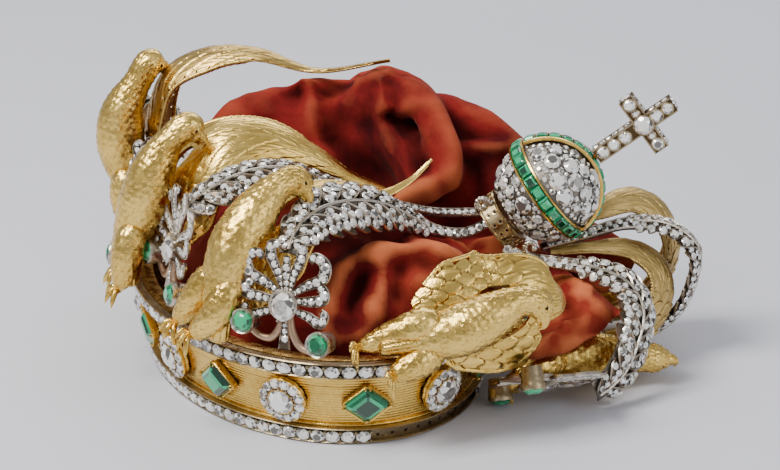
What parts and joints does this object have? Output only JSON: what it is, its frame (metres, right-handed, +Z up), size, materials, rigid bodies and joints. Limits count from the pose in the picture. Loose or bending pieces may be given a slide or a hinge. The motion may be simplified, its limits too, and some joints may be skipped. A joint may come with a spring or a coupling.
{
  "type": "crushed imperial crown",
  "caption": "Crushed goldsmith's crown: jewelled oval circlet, eagles with wing arches, leafed palmettes, tipped orb and cross, slumped velvet cap.",
  "frame": {"origin": "centre of the whole crown's footprint, on the surface that the circlet stands on", "axes": "+Z up, +X towards the side that the orb has fallen to, -Y towards the front of the circlet"},
  "size_m": [0.2076, 0.1896, 0.0986],
  "materials": {
    "gold": "chased and polished yellow gold, worn",
    "silver": "polished silver settings, slightly tarnished",
    "diamond": "brilliant-cut, clear, pale",
    "emerald": "step-cut, deep green",
    "velvet": "worn red silk velvet, rubbed pale on the folds"
  },
  "bodies": {
    "crown": {"circlet_band": "gold", "lower_rail": "gold", "lower_stone_row": "diamond", "upper_rail": "gold", "upper_stone_row": "diamond", "band_emerald_1": "emerald", "diamond_cluster_1": "diamond", "band_emerald_2": "emerald", "diamond_cluster_2": "diamond", "band_emerald_3": "emerald", "diamond_cluster_3": "diamond", "band_emerald_4": "emerald", "diamond_cluster_4": "diamond", "band_emerald_5": "emerald", "diamond_cluster_5": "diamond", "band_emerald_6": "emerald", "diamond_cluster_6": "diamond", "band_emerald_7": "emerald", "diamond_cluster_7": "diamond", "band_emerald_8": "emerald", "diamond_cluster_8": "diamond", "cross_stud": "gold", "orb": "diamond", "orb_equator": "emerald", "orb_half_hoop": "emerald", "orb_collar": "gold", "eagle_1": "gold", "eagle_2": "gold", "eagle_3": "gold", "eagle_4": "gold", "eagle_5": "gold", "eagle_6": "gold", "eagle_7": "gold", "eagle_8": "gold", "palmette_1": "silver", "palmette_2": "silver", "palmette_3": "silver", "palmette_4": "silver", "palmette_5": "silver", "palmette_6": "silver", "palmette_7": "silver", "palmette_8": "silver", "eagle_arch_1": "gold", "eagle_arch_2": "gold", "eagle_arch_3": "gold", "eagle_arch_4": "gold", "eagle_arch_5": "gold", "eagle_arch_6": "gold", "eagle_arch_7": "gold", "eagle_arch_8": "gold", "palmette_leaf_1": "silver", "palmette_leaf_2": "silver", "palmette_leaf_3": "silver", "palmette_leaf_4": "silver", "palmette_leaf_5": "silver", "palmette_leaf_6": "silver", "palmette_leaf_7": "silver", "palmette_leaf_8": "silver", "velvet_cap": "velvet"},
    "cross": {"cross": "silver"}
  },
  "joints": [
    {"name": "cross_turn", "type": "hinge", "parent": "crown", "child": "cross", "pos_m": [0.06711, -0.01308, 0.07396], "axis": [0.795, -0.056, 0.604], "continuous": true}
  ]
}
